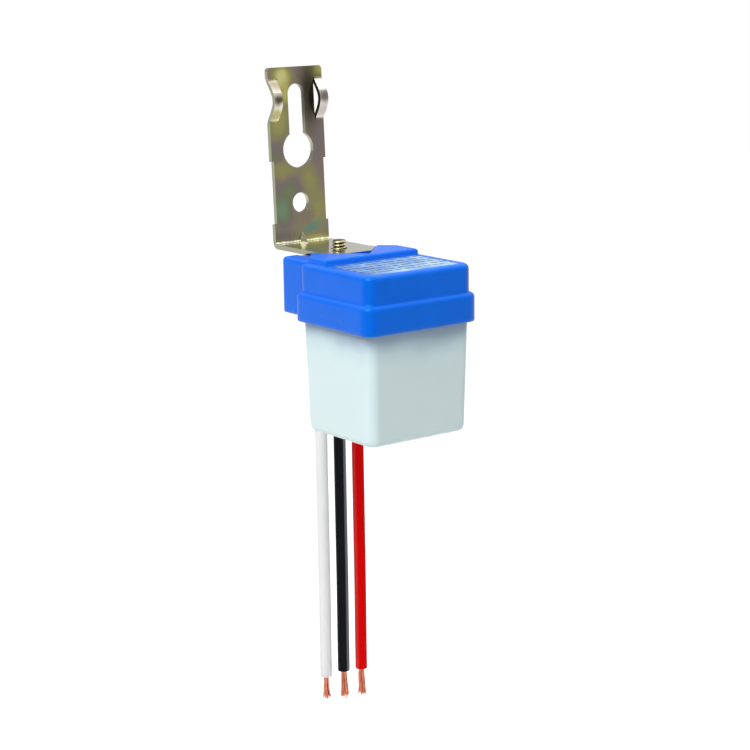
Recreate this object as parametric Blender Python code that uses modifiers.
"""Photocell switch for a wall: a blue moulded base, a milky cover, an angled steel bracket and free leads.

All lengths are in metres. The housing frame has its origin in the middle of the rear lower edge of the
base's skirt, with X along the wall, -Y away from the wall and Z up. One empty carries that frame, and every
piece hangs on it. It puts the world origin on the back of the bracket, on the face that meets the wall.
"""

import math

import bmesh
import bpy
from mathutils import Matrix, Vector

MM = 0.001
GAP = 0.3 * MM  # between pieces that touch

# Base: skirt and tier
SKIRT_WIDTH = 44 * MM
SKIRT_DEPTH = 40 * MM
SKIRT_HEIGHT = 9.2 * MM
SKIRT_WALL = 1.4 * MM
SKIRT_CORNER = 4 * MM
SKIRT_EDGE = 1.5 * MM
TIER_INSET = 1.4 * MM
TIER_TOP = 18.4 * MM
TIER_WALL = 1.8 * MM
TIER_CORNER = 3.5 * MM
TIER_EDGE = 1.8 * MM
ROOF = 1.8 * MM
SEAT_HEIGHT = 6.0 * MM  # underside of the ledge that stops the cover
INNER_CORNER = 1.7 * MM
LOWER_EDGE = 0.4 * MM

# Base: raised land with the V pocket, and the rear block
BLOCK_WIDTH = 36.8 * MM
BLOCK_REAR = 11.2 * MM
BLOCK_BOTTOM = 0.8 * MM
BLOCK_WALL = 1.8 * MM
BLOCK_CORNER = 2.0 * MM
BLOCK_EDGE = 1.3 * MM
SHOULDER_RISE = 0.4 * MM  # of the block's shoulders above the tier
SHOULDER_CLEARANCE = 2.0 * MM  # beside the arm
BLOCK_OVERLAP = 4 * MM
LAND_FRONT = 13.4 * MM
LAND_SIDE = 4.5 * MM
LAND_EDGE = 1.0 * MM
NOTCH_APEX = 12.0 * MM
STEP_INSET = 1.0 * MM
STEP_RISE = 1.3 * MM

# Label and its recess
LABEL_WIDTH = 33.4 * MM
LABEL_DEPTH = 21.6 * MM
LABEL_CORNER = 0.8 * MM
LABEL_THICKNESS = 0.25 * MM
LABEL_MARGIN = 1.4 * MM  # from the land's front face

# Cover
COVER_WALL = 1.5 * MM
COVER_BOTTOM = 35.7 * MM
COVER_DRAFT = math.radians(1.4)
COVER_CORNER = 3.5 * MM
COVER_EDGE = 2.0 * MM
RIDGE_LENGTH = 12 * MM
RIDGE_HEIGHT = 1.2 * MM
RIDGE_REACH = 0.6 * MM
RIDGE_CENTRE = 2.8 * MM

# Bracket
SHEET = 1.6 * MM
SHEET_WIDTH = 21.5 * MM
ARM_FRONT = 6.2 * MM
FOLD_REAR = 24.8 * MM
FOLD_RADIUS = 0.7 * MM
LEG_HEIGHT = 57.3 * MM
LEG_LEAN = math.radians(2.7)
LEG_CORNER = 1.2 * MM
KEYHOLE_HEIGHT = 30.4 * MM
KEYHOLE_RADIUS = 6.0 * MM
KEYSLOT_RADIUS = 3.2 * MM
KEYSLOT_MARGIN = 5.5 * MM  # from the slot's end to the leg's top
PILOT_HEIGHT = 12.9 * MM
PILOT_RADIUS = 3.25 * MM
WAIST_LOW = 6.5 * MM
WAIST_HIGH = 27 * MM
WAIST_DEPTH = 0.85 * MM
EAR_WIDTH = 3.3 * MM
EAR_MARGIN = 3.6 * MM  # from the ear's end to the leg's top
EAR_LENGTH = 14.1 * MM
EAR_REACH = 3.5 * MM
EAR_SLIT = 0.25 * MM
EAR_THINNING = 0.2 * MM
EAR_ROOT = 0.7 * MM
DART_LENGTH = 3.6 * MM
DART_WIDTH = 3.4 * MM
EAR_ARCH = 1.3  # power of the sine that shapes the arch; above 1 it leaves the plate smoothly
EAR_STEPS = 16
BEND_STEPS = 10

# Screw and lock washer
SCREW_RADIUS = 2.4 * MM
SCREW_LENGTH = 8.0 * MM
SCREW_TIP = 0.5 * MM
HEAD_RADIUS = 4.1 * MM
HEAD_HEIGHT = 2.2 * MM
RECESS_WIDTH = 1.0 * MM
RECESS_LENGTH = 4.6 * MM
RECESS_DEPTH = 1.3 * MM
WASHER_THICKNESS = 0.9 * MM
WASHER_RADIUS = 4.0 * MM
WASHER_SPLIT = 1.2 * MM

# Leads: each point of the route gives how far it lies behind the skirt's rear face, and its height. Those
# points, the ends' heights, the bare lengths and the lean are in millimetres
LEAD_RADIUS = 2.0 * MM
LEAD_SPACING = 7.4 * MM
LEAD_REAR = 6.0 * MM
LEAD_START = (-5.0, 10.4)
LEAD_BEND = (
    (-3.4, 10.4), (-2.0, 10.4), (0.07, 10.13), (2.0, 9.33),
    (3.66, 8.06), (4.93, 6.4), (5.73, 4.47), (6.0, 2.4),
)
LEAD_HANG = (
    (6.0, -2.0), (6.0, -10.0), (6.05, -21.0), (6.1, -33.0), (6.1, -45.0), (6.05, -57.0), (6.0, -69.0),
    (5.95, -81.0), (5.9, -93.0), (5.95, -105.0), (6.0, -116.0),
)
LEAD_ENDS = {"white": -125.0, "black": -124.7, "red": -125.6}
LEAD_SIDES = {"white": -1, "black": 0, "red": 1}
LEAD_COLOURS = {"white": (0.8, 0.8, 0.8), "black": (0.01, 0.01, 0.012), "red": (0.6, 0.0, 0.0)}
LEAD_CLEARANCE = 0.45 * MM
STRANDS_RADIUS = 1.1 * MM
STRANDS_LENGTHS = {"white": 8.2, "black": 9.9, "red": 9.9}
STRANDS_LEAN = (0.35, 0.0, 0.0)
TAIL_RADIUS = 0.9 * MM
GLAND_HEIGHT = 3.0 * MM

# Circuit board, its screws and bosses
BOARD_THICKNESS = 1.6 * MM
BOARD_TOP = 7.6 * MM
BOARD_MARGIN = 1.2 * MM
BOARD_CORNER = 1.0 * MM
HOLE_CLEARANCE = 0.3 * MM
BOSS_RADIUS = 2.4 * MM
BOSS_BORE = 1.25 * MM
BOARD_SCREW_RADIUS = 0.95 * MM
BOARD_SCREW_LENGTH = 8 * MM
BOARD_SCREW_HEAD = 2.4 * MM
BOARD_SCREW_HEAD_HEIGHT = 1.6 * MM
BOARD_SCREW_INSET = 2.9 * MM
BORE_END = 0.6 * MM

# Components on the board's lower side
LEG_RADIUS = 0.35 * MM
LEG_PROUD = 0.9 * MM
EDGE_INSET = 0.5 * MM
TAIL_INSET = 1.8 * MM
BODY_INSET = 5.0 * MM
LOOP_PITCH = 2.6 * MM
LOOP_HEIGHT = 1.6 * MM
ROW_START = 7.2 * MM
ROW_END = 1.9 * MM
ROW_DEPTH = 8.2 * MM
CHANNEL_WIDTH = 9.8 * MM  # free strip between relay and film capacitor
FRONT_STRIP = 7.8 * MM  # free strip in front of the relay
RELAY_HEIGHT = 15.3 * MM
RELAY_CORNER = 0.8 * MM
RELAY_EDGE = 0.6 * MM
RELAY_PIN_RADIUS = 0.45 * MM
RELAY_PIN_INSET = 2 * MM
RELAY_COIL_PITCH = 2 * MM
FILM_WIDTH = 6.0 * MM
FILM_DEPTH = 16.0 * MM
FILM_HEIGHT = 12.0 * MM
FILM_CORNER = 2 * MM
FILM_EDGE = 1.2 * MM
FILM_PIN_INSET = 2 * MM
FILM_PIN_SINK = 1 * MM
CAN_RADIUS = 2.5 * MM
CAN_HEIGHT = 11 * MM
CAN_PLACE = 3.4 * MM
CAN_GROOVE = 0.3 * MM
CAN_GROOVE_DROP = 1.5 * MM
CAN_GROOVE_HALF = 0.5 * MM
TRANSISTOR_RADIUS = 2.3 * MM
TRANSISTOR_HEIGHT = 4.6 * MM
TRANSISTOR_FLAT = 1.1 * MM
TRANSISTOR_DROP = 2.5 * MM
TRANSISTOR_PLACE = 9.6 * MM
TRANSISTOR_PITCH = 1.4 * MM
TRANSISTOR_LEG = 0.28 * MM
SENSOR_RADIUS = 2.55 * MM
SENSOR_THICKNESS = 2.1 * MM
SENSOR_PITCH = 3.4 * MM
SENSOR_DROP = 21 * MM
SENSOR_SIDE = 4.4 * MM
SENSOR_FRONT = 2.7 * MM
DIODE_BODY = (1.35 * MM, 5.2 * MM)
RESISTOR_BODY = (1.2 * MM, 6.3 * MM)

ROUND_STEPS = 5
SMALL_STEPS = 3
FINE_SIDES = 32
HOLE_SIDES = 24
SMALL_SIDES = 20
CAN_SIDES = 20
PIN_SIDES = 8
SHARP_ANGLE = math.radians(35)

# Sizes that follow from the ones above
ARM_UNDERSIDE = TIER_TOP + GAP
ARM_TOP = ARM_UNDERSIDE + SHEET
LAND_TOP = ARM_TOP + LOWER_EDGE / 4
CEILING = TIER_TOP - ROOF
HALF_SKIRT = SKIRT_WIDTH / 2
HALF_TIER = HALF_SKIRT - TIER_INSET
HALF_BLOCK = BLOCK_WIDTH / 2
HALF_SHEET = SHEET_WIDTH / 2
SCREW_REAR = HEAD_RADIUS + GAP  # the head lies against the front wall of the block's hollow
COVER_TOP = SEAT_HEIGHT - GAP
COVER_INSET = SKIRT_WALL + GAP
BOARD_BOTTOM = BOARD_TOP - BOARD_THICKNESS
BOARD_EDGE = COVER_INSET + COVER_WALL + BOARD_MARGIN
HALF_BOARD = HALF_SKIRT - BOARD_EDGE
BOARD_REAR = -BOARD_EDGE
BOARD_FRONT = -SKIRT_DEPTH + BOARD_EDGE
BELOW_BOARD = BOARD_BOTTOM - GAP
CHANNEL_MIDDLE = HALF_BOARD - EDGE_INSET - FILM_WIDTH - CHANNEL_WIDTH / 2
RELAY_WIDTH = 2 * (HALF_BOARD - EDGE_INSET) - FILM_WIDTH - CHANNEL_WIDTH
RELAY_DEPTH = BOARD_REAR - ROW_DEPTH - BOARD_FRONT - FRONT_STRIP
FILM_SIZE = Vector((FILM_WIDTH, FILM_DEPTH, FILM_HEIGHT))
RELAY_SIZE = Vector((RELAY_WIDTH, RELAY_DEPTH, RELAY_HEIGHT))
KEYSLOT_TOP = LEG_HEIGHT - KEYSLOT_MARGIN
EAR_HIGH = LEG_HEIGHT - EAR_MARGIN
EAR_LOW = EAR_HIGH - EAR_LENGTH
WALL_POINT = (PILOT_HEIGHT + PILOT_RADIUS + KEYHOLE_HEIGHT - KEYHOLE_RADIUS) / 2  # between the two holes


def fresh_scene():
    """Empties the scene and makes the two collections."""
    for obj in list(bpy.data.objects):
        bpy.data.objects.remove(obj, do_unlink=True)
    made = []
    for name in ("photocell_switch", "cutters"):
        collection = bpy.data.collections.new(name)
        bpy.context.scene.collection.children.link(collection)
        made.append(collection)
    return made


PARTS, CUTTERS = fresh_scene()


def wall_frame():
    """The empty that puts the back of the bracket on the world origin."""
    frame = bpy.data.objects.new("housing_frame", None)
    PARTS.objects.link(frame)
    frame.location = -on_leg(0, SHEET, WALL_POINT)
    return frame


def leg_matrix():
    """The leg's own frame: origin on the fold, Y through the sheet towards the wall, Z up along the leg."""
    return Matrix.Translation((0, FOLD_REAR, ARM_TOP)) @ Matrix.Rotation(-LEG_LEAN, 4, "X")


def on_leg(x, through, height):
    return leg_matrix() @ Vector((x, through, height))


def material(name, colour, roughness=0.5, metallic=0.0, alpha=1.0):
    made = bpy.data.materials.new(name)
    made.use_nodes = True
    shader = made.node_tree.nodes["Principled BSDF"]
    shader.inputs["Base Color"].default_value = (*colour, 1.0)
    shader.inputs["Roughness"].default_value = roughness
    shader.inputs["Metallic"].default_value = metallic
    shader.inputs["Alpha"].default_value = alpha
    return made


def add_mesh(name, bm, collection=CUTTERS):
    """Makes an object from a bmesh, in the cutters' collection until it is placed as a part."""
    bmesh.ops.recalc_face_normals(bm, faces=bm.faces)
    mesh = bpy.data.meshes.new(name)
    bm.to_mesh(mesh)
    bm.free()
    mesh.shade_smooth()
    mesh.set_sharp_from_angle(angle=SHARP_ANGLE)
    obj = bpy.data.objects.new(name, mesh)
    collection.objects.link(obj)
    return obj


def helper(obj):
    """Hides a cutter, or a shape that is joined to a part, from the render."""
    obj.parent = FRAME
    obj.hide_render = True
    obj.display_type = "WIRE"
    return obj


def part(obj, finish):
    """Files an object as a part of the switch, with its own material, on the housing's frame."""
    for collection in list(obj.users_collection):
        collection.objects.unlink(obj)
    PARTS.objects.link(obj)
    obj.parent = FRAME
    obj.data.materials.clear()
    obj.data.materials.append(finish)
    return obj


def boolean(obj, other, operation):
    modifier = obj.modifiers.new(f"{operation.lower()}_{other.name}", "BOOLEAN")
    modifier.operation = operation
    modifier.solver = "EXACT"
    modifier.object = helper(other)


def cut(obj, *others):
    for other in others:
        boolean(obj, other, "DIFFERENCE")


def join(obj, *others):
    for other in others:
        boolean(obj, other, "UNION")


def upright(edge):
    a, b = edge.verts
    return abs(a.co.x - b.co.x) < GAP / 10 and abs(a.co.y - b.co.y) < GAP / 10


def rim(bm, height):
    return [e for e in bm.edges if all(abs(v.co.z - height) < GAP / 10 for v in e.verts)]


def round_edges(bm, edges, radius, steps):
    if radius:
        bmesh.ops.bevel(
            bm, geom=edges, offset=radius, offset_type="OFFSET", segments=steps, profile=0.5, affect="EDGES"
        )


def block(name, low, high, corner=0.0, top=0.0, bottom=0.0, steps=ROUND_STEPS):
    """A box between two corners, with its upright edges rounded, and then its top and bottom rims."""
    low, high = Vector(low), Vector(high)
    bm = bmesh.new()
    bmesh.ops.create_cube(bm, size=1.0)
    bmesh.ops.scale(bm, vec=high - low, verts=bm.verts)
    bmesh.ops.translate(bm, vec=(low + high) / 2, verts=bm.verts)
    round_edges(bm, [e for e in bm.edges if upright(e)], corner, steps)
    round_edges(bm, rim(bm, high.z), top, steps - 1)
    round_edges(bm, rim(bm, low.z), bottom, steps - 1)
    return add_mesh(name, bm)


def cylinder(name, centre, radius, low, high, sides=FINE_SIDES, tip=None, matrix=None):
    """An upright cylinder, or a cone with another radius at its upper end."""
    bm = bmesh.new()
    bmesh.ops.create_cone(
        bm,
        cap_ends=True,
        segments=sides,
        radius1=radius,
        radius2=radius if tip is None else tip,
        depth=high - low,
    )
    bmesh.ops.translate(bm, vec=(centre[0], centre[1], (low + high) / 2), verts=bm.verts)
    if matrix:
        bmesh.ops.transform(bm, matrix=matrix, verts=bm.verts)
    return add_mesh(name, bm)


def arc(centre, radius, start, end, steps):
    """Points along an arc, from one angle to another, in a plane."""
    angles = (start + (end - start) * i / steps for i in range(steps + 1))
    return [(centre[0] + radius * math.cos(a), centre[1] + radius * math.sin(a)) for a in angles]


def prism(name, outline, low, high, matrix=None):
    """A closed outline in the XY plane, filled and raised from one height to another."""
    curve = bpy.data.curves.new(name, "CURVE")
    curve.dimensions = "2D"
    curve.fill_mode = "BOTH"
    curve.extrude = (high - low) / 2
    spline = curve.splines.new("POLY")
    spline.points.add(len(outline) - 1)
    for point, (x, y) in zip(spline.points, outline):
        point.co = (x, y, 0, 1)
    spline.use_cyclic_u = True
    shift = Matrix.Translation((0, 0, (low + high) / 2))
    return curve_to_mesh(name, curve, (matrix or Matrix()) @ shift)


def curve_to_mesh(name, curve, matrix=None):
    """The closed mesh of a curve, its caps welded to its sides."""
    source = bpy.data.objects.new(name, curve)
    CUTTERS.objects.link(source)
    evaluated = source.evaluated_get(bpy.context.evaluated_depsgraph_get())
    mesh = bpy.data.meshes.new_from_object(evaluated)
    bpy.data.objects.remove(source, do_unlink=True)
    bm = bmesh.new()
    bm.from_mesh(mesh)
    bpy.data.meshes.remove(mesh)
    bmesh.ops.remove_doubles(bm, verts=bm.verts, dist=GAP / 100)
    if matrix:
        bmesh.ops.transform(bm, matrix=matrix, verts=bm.verts)
    return add_mesh(name, bm)


def tube(name, points, radius, sides=PIN_SIDES):
    """A round wire or lead along a line of points, with filled ends."""
    curve = bpy.data.curves.new(name, "CURVE")
    curve.dimensions = "3D"
    curve.bevel_depth = radius
    curve.bevel_resolution = sides // 2 - 2
    curve.use_fill_caps = True
    spline = curve.splines.new("POLY")
    spline.points.add(len(points) - 1)
    for point, place in zip(spline.points, points):
        point.co = (*place, 1)
    return curve


def turned(name, profile, sides=FINE_SIDES):
    """A turned piece: (radius, height) points from the top down, swept once round Z by a Screw modifier."""
    bm = bmesh.new()
    made = [bm.verts.new((radius, 0, height)) for radius, height in profile]
    for a, b in zip(made, made[1:]):
        bm.edges.new((a, b))
    mesh = bpy.data.meshes.new(name)
    bm.to_mesh(mesh)
    bm.free()
    obj = bpy.data.objects.new(name, mesh)
    CUTTERS.objects.link(obj)
    sweep = obj.modifiers.new("sweep", "SCREW")
    sweep.steps = sides
    sweep.render_steps = sides
    sweep.use_merge_vertices = True
    sweep.merge_threshold = GAP / 10
    sweep.use_smooth_shade = True
    return obj


# Base housing


def land_outline():
    """The raised land from above: a bar across the tier, with a right-angled V that opens to the rear."""
    horn_rear = (HALF_BLOCK - LAND_SIDE - NOTCH_APEX) / 2
    horn_side = horn_rear + NOTCH_APEX
    right = [(HALF_BLOCK, -LAND_FRONT), (HALF_BLOCK, -LAND_SIDE), (horn_side, horn_rear)]
    left = [(-x, y) for x, y in reversed(right)]
    return [*right, (0, -NOTCH_APEX), *left]


def land():
    """The land with rounded edges on top. It starts inside the tier, so that both join in one moulding."""
    bm = bmesh.new()
    corners = [bm.verts.new((x, y, TIER_TOP - ROOF / 2)) for x, y in land_outline()]
    floor = bm.faces.new(corners)
    raised = bmesh.ops.extrude_face_region(bm, geom=[floor])["geom"]
    bmesh.ops.translate(
        bm,
        vec=(0, 0, LAND_TOP - TIER_TOP + ROOF / 2),
        verts=[v for v in raised if isinstance(v, bmesh.types.BMVert)],
    )
    front = [e for e in rim(bm, LAND_TOP) if all(v.co.y < -LAND_FRONT + GAP for v in e.verts)]
    sides = [e for e in rim(bm, LAND_TOP) if all(abs(v.co.x) > HALF_BLOCK - GAP for v in e.verts)]
    round_edges(bm, list({*front, *sides}), LAND_EDGE, SMALL_STEPS)
    return add_mesh("land", bm)


def skirt_cavity():
    return block(
        "skirt_cavity",
        (-HALF_SKIRT + SKIRT_WALL, -SKIRT_DEPTH + SKIRT_WALL, -SKIRT_HEIGHT),
        (HALF_SKIRT - SKIRT_WALL, -SKIRT_WALL, SEAT_HEIGHT),
        corner=SKIRT_CORNER - SKIRT_WALL,
    )


def tier_cavity():
    inset = TIER_INSET + TIER_WALL
    return block(
        "tier_cavity",
        (-HALF_SKIRT + inset, -SKIRT_DEPTH + inset, 0),
        (HALF_SKIRT - inset, -inset, CEILING),
        corner=INNER_CORNER,
    )


def block_cavity():
    half = HALF_BLOCK - BLOCK_WALL
    return block(
        "block_cavity",
        (-half, 0, -SKIRT_HEIGHT),
        (half, BLOCK_REAR - BLOCK_WALL, CEILING),
        corner=INNER_CORNER,
        steps=SMALL_STEPS,
    )


def arm_seat():
    """The shallow channel in the block's top that the bracket's arm lies in, between two shoulders."""
    half = HALF_SHEET + SHOULDER_CLEARANCE
    floor = TIER_TOP - LOWER_EDGE / 4
    return block("arm_seat", (-half, -BLOCK_OVERLAP - GAP, floor), (half, BLOCK_REAR + GAP, LAND_TOP))


def boss_places():
    """Where the board screws are: in the rear left corner, and at the front between relay and capacitor."""
    rear = (-HALF_BOARD + BOARD_SCREW_INSET, BOARD_REAR - BOARD_SCREW_INSET)
    front = (CHANNEL_MIDDLE, BOARD_FRONT + BOARD_SCREW_INSET)
    return {"rear": rear, "front": front}


def lead_places():
    return {name: side * LEAD_SPACING for name, side in LEAD_SIDES.items()}


def lead_window(name, x):
    """The round hole that takes a lead through the tier's rear wall into the block."""
    along = Matrix.Rotation(math.pi / 2, 4, "X")
    centre = (x, LEAD_START[1] * MM - GAP / 2)
    radius = LEAD_RADIUS + LEAD_CLEARANCE
    return cylinder(f"window_{name}", centre, radius, -GAP, 2 * BLOCK_OVERLAP, SMALL_SIDES, matrix=along)


def snap_groove(side):
    reach = HALF_SKIRT - COVER_INSET + RIDGE_REACH + GAP
    half = RIDGE_LENGTH / 2 + GAP
    middle = -SKIRT_DEPTH / 2
    ends = sorted((side * reach, side * (HALF_SKIRT - 2 * SKIRT_WALL)))
    return block(
        f"groove_{'left' if side < 0 else 'right'}",
        (ends[0], middle - half, RIDGE_CENTRE - RIDGE_HEIGHT / 2 - GAP),
        (ends[1], middle + half, RIDGE_CENTRE + RIDGE_HEIGHT / 2 + GAP),
    )


def label_span():
    """The near and far edges of the label, counted from the skirt's rear face."""
    rear = -LAND_FRONT - LABEL_MARGIN
    return rear - LABEL_DEPTH, rear


def base_housing():
    body = block(
        "base_housing",
        (-HALF_SKIRT, -SKIRT_DEPTH, 0),
        (HALF_SKIRT, 0, SKIRT_HEIGHT),
        corner=SKIRT_CORNER,
        top=SKIRT_EDGE,
        bottom=LOWER_EDGE,
    )
    tier = block(
        "tier",
        (-HALF_TIER, -SKIRT_DEPTH + TIER_INSET, SEAT_HEIGHT),
        (HALF_TIER, -TIER_INSET, TIER_TOP),
        corner=TIER_CORNER,
        top=TIER_EDGE,
    )
    rear_step = block(
        "rear_step",
        (-HALF_TIER + STEP_INSET, -BLOCK_OVERLAP, SEAT_HEIGHT),
        (HALF_TIER - STEP_INSET, -GAP, SKIRT_HEIGHT + STEP_RISE),
        corner=LAND_EDGE,
        top=LOWER_EDGE,
        steps=SMALL_STEPS,
    )
    rear_block = block(
        "rear_block",
        (-HALF_BLOCK, -BLOCK_OVERLAP, BLOCK_BOTTOM),
        (HALF_BLOCK, BLOCK_REAR, TIER_TOP + SHOULDER_RISE),
        corner=BLOCK_CORNER,
        top=BLOCK_EDGE,
        bottom=LOWER_EDGE,
    )
    cut(rear_block, arm_seat())
    join(body, tier, rear_step, rear_block, land())
    cut(body, skirt_cavity(), tier_cavity(), block_cavity())
    for name, x in lead_places().items():
        cut(body, lead_window(name, x))
    cut(body, snap_groove(-1), snap_groove(1))
    near, far = label_span()
    recess = block(
        "label_recess",
        (-LABEL_WIDTH / 2 - GAP, near - GAP, TIER_TOP - LABEL_THICKNESS - GAP),
        (LABEL_WIDTH / 2 + GAP, far + GAP, LAND_TOP),
        corner=LABEL_CORNER + GAP,
        steps=SMALL_STEPS,
    )
    cut(body, recess)
    passage = SCREW_RADIUS + GAP
    cut(body, cylinder("screw_passage", (0, SCREW_REAR), passage, CEILING - ROOF, LAND_TOP, HOLE_SIDES))
    for name, place in boss_places().items():
        top = CEILING + ROOF / 2
        join(body, cylinder(f"boss_{name}", place, BOSS_RADIUS, BOARD_TOP + GAP, top, HOLE_SIDES))
        cut(body, cylinder(f"bore_{name}", place, BOSS_BORE, BOARD_TOP, bore_top(), SMALL_SIDES))
    return part(body, material("blue_abs", (0.012, 0.16, 0.8), 0.35))


def bore_top():
    """The closed end of a boss's bore, just above the tip of the board screw."""
    return BELOW_BOARD + BOARD_SCREW_LENGTH + BORE_END


def label_plate():
    near, far = label_span()
    plate = block(
        "label_plate",
        (-LABEL_WIDTH / 2, near, TIER_TOP - LABEL_THICKNESS),
        (LABEL_WIDTH / 2, far, TIER_TOP),
        corner=LABEL_CORNER,
        steps=SMALL_STEPS,
    )
    return part(plate, material("silvered_film", (0.55, 0.68, 0.85), 0.4, 0.3))


# Cover


def diffuser_cover():
    """A drafted box, open at the top, with an even wall and a snap ridge on each side."""
    rise = COVER_TOP + COVER_BOTTOM
    taper = rise * math.tan(COVER_DRAFT)
    half = HALF_SKIRT - COVER_INSET
    front, rear = -SKIRT_DEPTH + COVER_INSET, -COVER_INSET
    middle = (front + rear) / 2
    bm = bmesh.new()
    bmesh.ops.create_cube(bm, size=2.0)
    for v in bm.verts:
        low = v.co.z < 0
        draw = taper if low else 0
        v.co = (
            v.co.x * (half - draw),
            middle + v.co.y * ((rear - front) / 2 - draw),
            -COVER_BOTTOM if low else COVER_TOP,
        )
    corners = [e for e in bm.edges if e.verts[0].co.z * e.verts[1].co.z < 0]
    round_edges(bm, corners, COVER_CORNER, ROUND_STEPS)
    round_edges(bm, rim(bm, -COVER_BOTTOM), COVER_EDGE, ROUND_STEPS - 1)
    lid = [f for f in bm.faces if all(abs(v.co.z - COVER_TOP) < GAP / 10 for v in f.verts)]
    bmesh.ops.delete(bm, geom=lid, context="FACES_ONLY")
    cover = add_mesh("diffuser_cover", bm)
    shell = cover.modifiers.new("wall", "SOLIDIFY")
    shell.thickness = COVER_WALL
    shell.offset = -1
    shell.use_even_offset = True
    for side in (-1, 1):
        ends = sorted((side * (half - COVER_WALL / 2), side * (half + RIDGE_REACH)))
        ridge = block(
            f"ridge_{'left' if side < 0 else 'right'}",
            (ends[0], middle - RIDGE_LENGTH / 2, RIDGE_CENTRE - RIDGE_HEIGHT / 2),
            (ends[1], middle + RIDGE_LENGTH / 2, RIDGE_CENTRE + RIDGE_HEIGHT / 2),
        )
        join(cover, ridge)
    return part(cover, material("milky_polypropylene", (0.78, 0.9, 0.92), 0.45))


# Bracket

OUT_OF_LEG = Matrix(((0, 0, 1, 0), (1, 0, 0, 0), (0, 1, 0, 0), (0, 0, 0, 1)))
THROUGH_LEG = Matrix(((1, 0, 0, 0), (0, 0, -1, 0), (0, 1, 0, 0), (0, 0, 0, 1)))


def angle_outline():
    """The bent sheet seen from its side, as (Y, Z) points: arm, outer bend, leg, inner bend."""
    across = (FOLD_RADIUS - FOLD_RADIUS * math.sin(LEG_LEAN)) / math.cos(LEG_LEAN)
    centre = (FOLD_REAR - across, ARM_TOP + FOLD_RADIUS)
    arm_end, leg_end = -math.pi / 2, -LEG_LEAN
    outer = arc(centre, FOLD_RADIUS + SHEET, arm_end, leg_end, BEND_STEPS)
    inner = arc(centre, FOLD_RADIUS, leg_end, arm_end, BEND_STEPS // 2)
    back, front = on_leg(0, SHEET, LEG_HEIGHT), on_leg(0, 0, LEG_HEIGHT)
    return [
        (-ARM_FRONT, ARM_UNDERSIDE),
        *outer,
        (back.y, back.z),
        (front.y, front.z),
        *inner,
        (-ARM_FRONT, ARM_TOP),
    ]


def bent_sheet():
    """The angle at its full width, with the two top corners of the leg rounded."""
    sheet = prism("mounting_bracket", angle_outline(), -HALF_SHEET, HALF_SHEET, OUT_OF_LEG)
    bm = bmesh.new()
    bm.from_mesh(sheet.data)
    to_leg = leg_matrix().inverted()
    tips = [
        e
        for e in bm.edges
        if all((to_leg @ v.co).z > LEG_HEIGHT - GAP for v in e.verts)
        and abs(e.verts[0].co.x - e.verts[1].co.x) < GAP
    ]
    round_edges(bm, tips, LEG_CORNER, ROUND_STEPS)
    bm.to_mesh(sheet.data)
    bm.free()
    return sheet


def keyhole_outline():
    """The big round hole and the slot above it, as (X, height) points on the leg."""
    half_angle = math.asin(KEYSLOT_RADIUS / KEYHOLE_RADIUS)
    top = math.pi / 2
    circle = arc((0, KEYHOLE_HEIGHT), KEYHOLE_RADIUS, top + half_angle, 5 * top - half_angle, FINE_SIDES)
    end = arc((0, KEYSLOT_TOP - KEYSLOT_RADIUS), KEYSLOT_RADIUS, 0, math.pi, HOLE_SIDES // 2)
    return [*circle, *end]


def through_leg(name, outline):
    return prism(name, outline, -2 * SHEET, 2 * SHEET, leg_matrix() @ THROUGH_LEG)


def side_notch(name, side, inner, low, high):
    """A box that cuts one side of the leg, from a distance off the middle outwards."""
    ends = sorted((side * inner, side * (HALF_SHEET + SHEET)))
    notch = block(name, (ends[0], -SHEET, low), (ends[1], 2 * SHEET, high))
    notch.data.transform(leg_matrix())
    return notch


def arm_clip(name, side):
    """Cuts the arm's corner off at 45 degrees, parallel to the pocket's wall and a gap away from it."""
    shift = NOTCH_APEX - math.sqrt(2) * GAP
    far = HALF_SHEET + SHEET
    near = -ARM_FRONT - SHEET
    outline = [(side * (near + shift), near), (side * far, near), (side * far, far - shift)]
    return prism(name, outline, ARM_UNDERSIDE - SHEET, ARM_TOP + SHEET)


def ear_offset(share):
    """How far the ear stands off along its length, as a share of its reach: one smooth arch."""
    return abs(math.sin(math.pi * share)) ** EAR_ARCH


def ear_outline():
    """The arched strip from its side, as (out of the leg, height) points, both ends rooted in the plate."""
    thickness = SHEET - EAR_THINNING
    length = EAR_HIGH - EAR_LOW
    line = [Vector((SHEET / 2, EAR_LOW - EAR_ROOT))]
    for i in range(EAR_STEPS + 1):
        share = i / EAR_STEPS
        line.append(Vector((SHEET / 2 - EAR_REACH * ear_offset(share), EAR_LOW + length * share)))
    line.append(Vector((SHEET / 2, EAR_HIGH + EAR_ROOT)))
    front, back = [], []
    for i, point in enumerate(line):
        along = (line[min(i + 1, len(line) - 1)] - line[max(i - 1, 0)]).normalized()
        aside = Vector((-along.y, along.x)) * thickness / 2
        front.append(tuple(point + aside))
        back.append(tuple(point - aside))
    return [*front, *reversed(back)]


def ear(name, side):
    ends = sorted((side * (HALF_SHEET - EAR_WIDTH), side * (HALF_SHEET - EAR_THINNING / 2)))
    return prism(name, ear_outline(), ends[0], ends[1], leg_matrix() @ OUT_OF_LEG)


def dart():
    """The pressed dart that stiffens the fold: a small ridge from arm to leg, widest in the corner."""
    sunk = SHEET / 3
    corners = (
        (-DART_WIDTH / 2, FOLD_REAR + sunk, ARM_TOP - sunk),
        (DART_WIDTH / 2, FOLD_REAR + sunk, ARM_TOP - sunk),
        (0, FOLD_REAR - DART_LENGTH, ARM_TOP - sunk / 2),
        on_leg(0, sunk / 2, DART_LENGTH),
    )
    bm = bmesh.new()
    made = [bm.verts.new(corner) for corner in corners]
    bmesh.ops.convex_hull(bm, input=made)
    return add_mesh("dart", bm)


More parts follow.
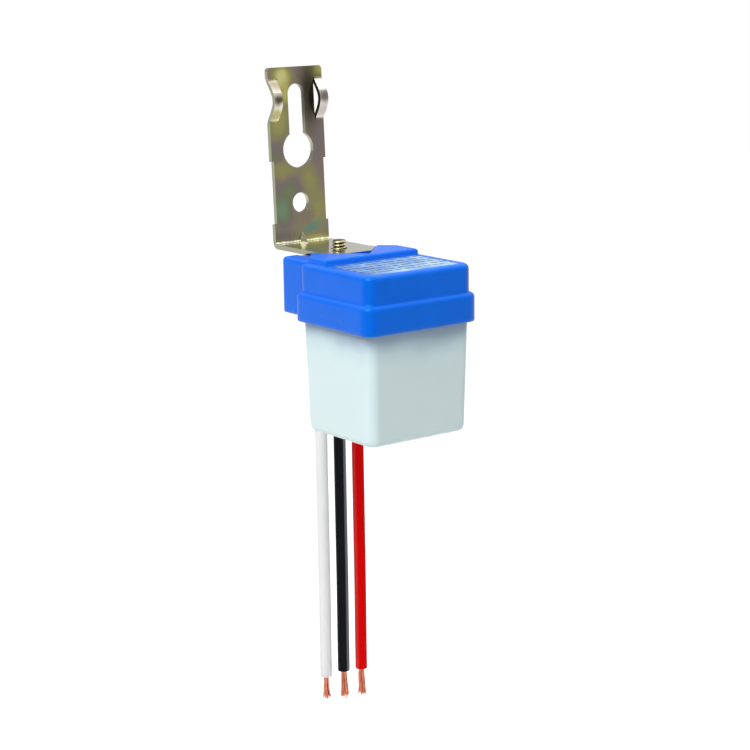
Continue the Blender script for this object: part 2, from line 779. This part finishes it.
def mounting_bracket():
    sheet = bent_sheet()
    cut(sheet, through_leg("keyhole", keyhole_outline()))
    pilot = arc((0, PILOT_HEIGHT), PILOT_RADIUS, 0, math.tau, HOLE_SIDES)[:-1]
    cut(sheet, through_leg("pilot_hole", pilot))
    for side, word in ((-1, "left"), (1, "right")):
        cut(sheet, side_notch(f"waist_{word}", side, HALF_SHEET - WAIST_DEPTH, WAIST_LOW, WAIST_HIGH))
        inner = HALF_SHEET - EAR_WIDTH - EAR_SLIT
        window = side_notch(f"ear_window_{word}", side, inner, EAR_LOW, EAR_HIGH)
        cut(sheet, window, arm_clip(f"arm_clip_{word}", side))
        join(sheet, ear(f"ear_{word}", side))
    low, high = ARM_UNDERSIDE - SHEET, ARM_TOP + SHEET
    cut(sheet, cylinder("tapped_hole", (0, SCREW_REAR), SCREW_RADIUS + GAP, low, high, HOLE_SIDES))
    join(sheet, dart())
    return part(sheet, material("yellow_zinc", (0.42, 0.4, 0.28), 0.3, 1.0))


# Screw and washer


def screw_bearing():
    """The height of the screw head's upper face, under the lock washer and the ceiling."""
    return CEILING - 2 * GAP - WASHER_THICKNESS


def bracket_screw():
    bearing = screw_bearing()
    tip = bearing + SCREW_LENGTH
    under = bearing - HEAD_HEIGHT
    screw = turned(
        "bracket_screw",
        [
            (0, tip),
            (SCREW_RADIUS - SCREW_TIP, tip),
            (SCREW_RADIUS, tip - SCREW_TIP),
            (SCREW_RADIUS, bearing),
            (HEAD_RADIUS, bearing),
            (HEAD_RADIUS, bearing - HEAD_HEIGHT / 2),
            (HEAD_RADIUS - HEAD_HEIGHT / 4, under + HEAD_HEIGHT / 8),
            (HEAD_RADIUS - HEAD_HEIGHT / 2, under),
            (0, under),
        ],
    )
    screw.location = (0, SCREW_REAR, 0)
    across = Vector((RECESS_LENGTH, RECESS_WIDTH))
    for name, size in (("slot_across", across), ("slot_along", across.yx)):
        half = size / 2
        cutter = block(
            name,
            (-half.x, SCREW_REAR - half.y, under - RECESS_DEPTH),
            (half.x, SCREW_REAR + half.y, under + RECESS_DEPTH),
        )
        cut(screw, cutter)
    return part(screw, material("zinc_screw", (0.5, 0.47, 0.36), 0.3, 1.0))


def lock_washer():
    """A spring washer: a ring of square wire that is cut through once."""
    low = screw_bearing() + GAP
    high = low + WASHER_THICKNESS
    inner = SCREW_RADIUS + GAP
    profile = [(inner, high), (WASHER_RADIUS, high), (WASHER_RADIUS, low), (inner, low), (inner, high)]
    ring = turned("lock_washer", profile)
    ring.location = (0, SCREW_REAR, 0)
    half = WASHER_SPLIT / 2
    rear = SCREW_REAR + 2 * WASHER_RADIUS
    cut(ring, block("split", (-half, SCREW_REAR, low - GAP), (half, rear, high + GAP)))
    return part(ring, material("spring_steel", (0.35, 0.34, 0.32), 0.35, 1.0))


# Leads


def smooth(points, steps=2):
    """Points read from a smooth curve through the chosen ones, a few for each span."""
    ends = [2 * points[0] - points[1], *points, 2 * points[-1] - points[-2]]
    found = []
    for a, b, c, d in zip(ends, ends[1:], ends[2:], ends[3:]):
        for i in range(steps):
            t = i / steps
            bend = (2 * a - 5 * b + 4 * c - d) * t**2
            twist = (3 * b - a - 3 * c + d) * t**3
            found.append((2 * b + (c - a) * t + bend + twist) / 2)
    return [*found, points[-1]]


def lead_route(name):
    """The chosen points of one lead: through the wall, down through the gland and straight on."""
    x = lead_places()[name]
    chosen = (LEAD_START, *LEAD_BEND, *LEAD_HANG, (LEAD_REAR / MM, LEAD_ENDS[name]))
    return [Vector((x, rear * MM, height * MM)) for rear, height in chosen]


def lead(name):
    curve = tube(f"lead_{name}", smooth(lead_route(name)), LEAD_RADIUS)
    return part(curve_to_mesh(f"lead_{name}", curve), material(f"{name}_pvc", LEAD_COLOURS[name], 0.35))


def strands(name):
    """The bare copper below the insulation, leaning a little as it does after stripping."""
    start = lead_route(name)[-1] - Vector((0, 0, GAP))
    lean = Vector(STRANDS_LEAN) * MM
    drop = Vector((0, 0, STRANDS_LENGTHS[name] * MM))
    line = [start, start + lean / 3 - drop / 2, start + lean - drop]
    curve = tube(f"strands_{name}", line, STRANDS_RADIUS)
    return part(curve_to_mesh(f"strands_{name}", curve), COPPER)


def tail(name):
    """The stripped inner end of a lead: it turns down through its hole in the board."""
    x = lead_places()[name]
    start = Vector((x, LEAD_START[0] * MM - GAP, LEAD_START[1] * MM))
    foot = Vector((x, BOARD_REAR - TAIL_INSET, BOARD_BOTTOM - LEG_PROUD))
    knee = Vector((x, foot.y, start.z))
    drop = Vector((0, 0, TAIL_RADIUS))
    line = [start, knee.lerp(start, 0.5) - drop / 4, knee - drop, knee - 2 * drop, foot]
    curve = tube(f"tail_{name}", line, TAIL_RADIUS)
    return part(curve_to_mesh(f"tail_{name}", curve), COPPER)


def lead_gland():
    """The soft plug that closes the rear block round the leads, flush with the block's lower edge."""
    half = HALF_BLOCK - BLOCK_WALL - GAP
    plug = block(
        "lead_gland",
        (-half, GAP, BLOCK_BOTTOM),
        (half, BLOCK_REAR - BLOCK_WALL - GAP, BLOCK_BOTTOM + GLAND_HEIGHT),
        corner=INNER_CORNER,
        steps=SMALL_STEPS,
    )
    for name, x in lead_places().items():
        place = (x, LEAD_REAR)
        radius = LEAD_RADIUS + LEAD_CLEARANCE
        cut(plug, cylinder(f"gland_hole_{name}", place, radius, -SKIRT_HEIGHT, SKIRT_HEIGHT, SMALL_SIDES))
    return part(plug, material("grey_rubber", (0.08, 0.08, 0.085), 0.8))


# Circuit board and what it carries


def pins(name, body, places, radius=LEG_RADIUS, drop=0.0):
    """Joins a component's legs to it. Each leg passes the board and stands a little proud above it."""
    for i, (x, y) in enumerate(places):
        low = BELOW_BOARD - drop - radius
        join(body, cylinder(f"{name}_leg_{i}", (x, y), radius, low, BOARD_TOP + LEG_PROUD, PIN_SIDES))
        DRILLED.append((x, y, radius + HOLE_CLEARANCE))


def relay():
    """A sealed relay, with two coil pins and three contact pins."""
    left, rear = -HALF_BOARD + EDGE_INSET, BOARD_REAR - ROW_DEPTH
    low = Vector((left, rear - RELAY_SIZE.y, BELOW_BOARD - RELAY_SIZE.z))
    high = low + RELAY_SIZE
    body = block("relay", low, high, corner=RELAY_CORNER, bottom=RELAY_EDGE, steps=SMALL_STEPS)
    middle = (low + high) / 2
    reach = RELAY_SIZE / 2 - Vector((1, 1, 0)) * RELAY_PIN_INSET
    places = [(middle.x - reach.x, middle.y)]
    for side in (-1, 1):
        places.append((middle.x - reach.x + RELAY_COIL_PITCH, middle.y + side * reach.y))
        places.append((middle.x + reach.x, middle.y + side * reach.y))
    pins("relay", body, places, RELAY_PIN_RADIUS)
    return part(body, material("relay_case", (0.02, 0.02, 0.025), 0.4))


def film_capacitor():
    high = Vector((HALF_BOARD - EDGE_INSET, BOARD_REAR - ROW_DEPTH, BELOW_BOARD))
    low = high - FILM_SIZE
    body = block("film_capacitor", low, high, corner=FILM_CORNER, top=FILM_EDGE, bottom=FILM_EDGE)
    middle = (low + high) / 2
    reach = FILM_SIZE.y / 2 - FILM_PIN_INSET
    places = [(middle.x, middle.y + side * reach) for side in (-1, 1)]
    pins("film_capacitor", body, places, drop=FILM_PIN_SINK)
    return part(body, material("brown_resin", (0.25, 0.06, 0.03), 0.45))


def electrolytic_capacitor():
    """A can with the rolled groove near its seal."""
    top = BELOW_BOARD
    low = top - CAN_HEIGHT
    groove = top - CAN_GROOVE_DROP
    can = turned(
        "electrolytic_capacitor",
        [
            (0, top),
            (CAN_RADIUS - CAN_GROOVE, top),
            (CAN_RADIUS, top - CAN_GROOVE),
            (CAN_RADIUS, groove + CAN_GROOVE_HALF),
            (CAN_RADIUS - CAN_GROOVE, groove),
            (CAN_RADIUS, groove - CAN_GROOVE_HALF),
            (CAN_RADIUS, low + CAN_GROOVE),
            (CAN_RADIUS - CAN_GROOVE, low),
            (0, low),
        ],
        sides=CAN_SIDES,
    )
    place = (CHANNEL_MIDDLE, BOARD_REAR - ROW_DEPTH - CAN_PLACE)
    can.location = (*place, 0)
    places = [(place[0] + side * CAN_RADIUS / 2, place[1]) for side in (-1, 1)]
    pins("electrolytic_capacitor", can, places, drop=CAN_GROOVE)
    return part(can, material("can_sleeve", (0.02, 0.03, 0.1), 0.4))


def transistor():
    """A small round-backed package with one flat face, on three legs."""
    x, y = CHANNEL_MIDDLE, BOARD_REAR - ROW_DEPTH - TRANSISTOR_PLACE
    start = math.asin(TRANSISTOR_FLAT / TRANSISTOR_RADIUS)
    outline = arc((x, y), TRANSISTOR_RADIUS, -start, math.pi + start, SMALL_SIDES)
    top = BELOW_BOARD - TRANSISTOR_DROP
    body = prism("transistor", outline, top - TRANSISTOR_HEIGHT, top)
    places = [(x + i * TRANSISTOR_PITCH, y) for i in (-1, 0, 1)]
    pins("transistor", body, places, radius=TRANSISTOR_LEG, drop=TRANSISTOR_DROP)
    return part(body, material("transistor_case", (0.015, 0.015, 0.015), 0.5))


def light_sensor():
    """The light cell hangs on two long legs and looks down into the milky cover."""
    x, y = -HALF_BOARD + SENSOR_SIDE, BOARD_FRONT + SENSOR_FRONT
    top = BELOW_BOARD - SENSOR_DROP
    body = cylinder("light_sensor", (x, y), SENSOR_RADIUS, top - SENSOR_THICKNESS, top, SMALL_SIDES)
    places = [(x + side * SENSOR_PITCH / 2, y) for side in (-1, 1)]
    pins("light_sensor", body, places, drop=SENSOR_DROP)
    return part(body, material("sensor_ceramic", (0.7, 0.35, 0.2), 0.5))


def row_places(count):
    """Even places for the upright parts along the board's rear edge."""
    start, end = -HALF_BOARD + ROW_START, HALF_BOARD - ROW_END
    return [start + (end - start) * i / (count - 1) for i in range(count)]


def upright_part(name, x, size, finish):
    """A diode or resistor stood on end: one short leg, and one that loops over from the body's far end."""
    radius, length = size
    y = BOARD_REAR - BODY_INSET
    top = BELOW_BOARD - LEG_RADIUS
    low = top - length
    body = cylinder(name, (x, y), radius, low, top, 2 * PIN_SIDES)
    turn = low - LOOP_HEIGHT
    loop = [
        (x, y, low + LEG_RADIUS),
        (x, y, turn + LOOP_PITCH / 4),
        (x, y - LOOP_PITCH / 4, turn),
        (x, y - 3 * LOOP_PITCH / 4, turn),
        (x, y - LOOP_PITCH, turn + LOOP_PITCH / 4),
        (x, y - LOOP_PITCH, BOARD_TOP + LEG_PROUD),
    ]
    join(body, curve_to_mesh(f"{name}_loop", tube(f"{name}_loop", loop, LEG_RADIUS)))
    end = BOARD_TOP + LEG_PROUD
    join(body, cylinder(f"{name}_leg", (x, y), LEG_RADIUS, top - LEG_RADIUS, end, PIN_SIDES))
    for rear in (y, y - LOOP_PITCH):
        DRILLED.append((x, rear, LEG_RADIUS + HOLE_CLEARANCE))
    return part(body, finish)


def upright_row():
    """The bridge's four diodes and the two resistors, side by side."""
    glass = material("diode_case", (0.02, 0.02, 0.02), 0.4)
    lacquer = material("resistor_lacquer", (0.55, 0.4, 0.25), 0.5)
    row = [(f"rectifier_diode_{i}", DIODE_BODY, glass) for i in range(1, 5)]
    row += [(name, RESISTOR_BODY, lacquer) for name in ("bleed_resistor", "sensor_resistor")]
    for x, (name, size, finish) in zip(row_places(len(row)), row):
        upright_part(name, x, size, finish)


def board_screw(name, place):
    """A self-tapping screw that goes up through the board into its boss."""
    head_top = BELOW_BOARD
    tip = head_top + BOARD_SCREW_LENGTH
    screw = turned(
        f"board_screw_{name}",
        [
            (0, tip),
            (BOARD_SCREW_RADIUS / 3, tip),
            (BOARD_SCREW_RADIUS, tip - 2 * BOARD_SCREW_RADIUS),
            (BOARD_SCREW_RADIUS, head_top),
            (BOARD_SCREW_HEAD, head_top),
            (BOARD_SCREW_HEAD, head_top - BOARD_SCREW_HEAD_HEIGHT / 2),
            (BOARD_SCREW_HEAD / 2, head_top - BOARD_SCREW_HEAD_HEIGHT),
            (0, head_top - BOARD_SCREW_HEAD_HEIGHT),
        ],
        sides=SMALL_SIDES,
    )
    screw.location = (*place, 0)
    DRILLED.append((*place, BOARD_SCREW_RADIUS + HOLE_CLEARANCE))
    return part(screw, SCREW_STEEL)


def circuit_board():
    """The board, drilled for every leg, tail and screw that passes it."""
    board = block(
        "circuit_board",
        (-HALF_BOARD, BOARD_FRONT, BOARD_BOTTOM),
        (HALF_BOARD, BOARD_REAR, BOARD_TOP),
        corner=BOARD_CORNER,
        steps=SMALL_STEPS,
    )
    for x in lead_places().values():
        DRILLED.append((x, BOARD_REAR - TAIL_INSET, TAIL_RADIUS + HOLE_CLEARANCE))
    for i, (x, y, radius) in enumerate(DRILLED):
        cut(board, cylinder(f"drill_{i}", (x, y), radius, BOARD_BOTTOM - GAP, BOARD_TOP + GAP, PIN_SIDES))
    return part(board, material("paper_laminate", (0.45, 0.3, 0.12), 0.6))


FRAME = wall_frame()
DRILLED = []
COPPER = material("bare_copper", (0.75, 0.3, 0.18), 0.3, 1.0)
SCREW_STEEL = material("board_screw_steel", (0.45, 0.43, 0.4), 0.35, 1.0)

base_housing()
label_plate()
diffuser_cover()
mounting_bracket()
bracket_screw()
lock_washer()
lead_gland()
for lead_name in LEAD_SIDES:
    lead(lead_name)
    strands(lead_name)
    tail(lead_name)
relay()
film_capacitor()
electrolytic_capacitor()
transistor()
light_sensor()
upright_row()
for screw_name, screw_place in boss_places().items():
    board_screw(screw_name, screw_place)
circuit_board()
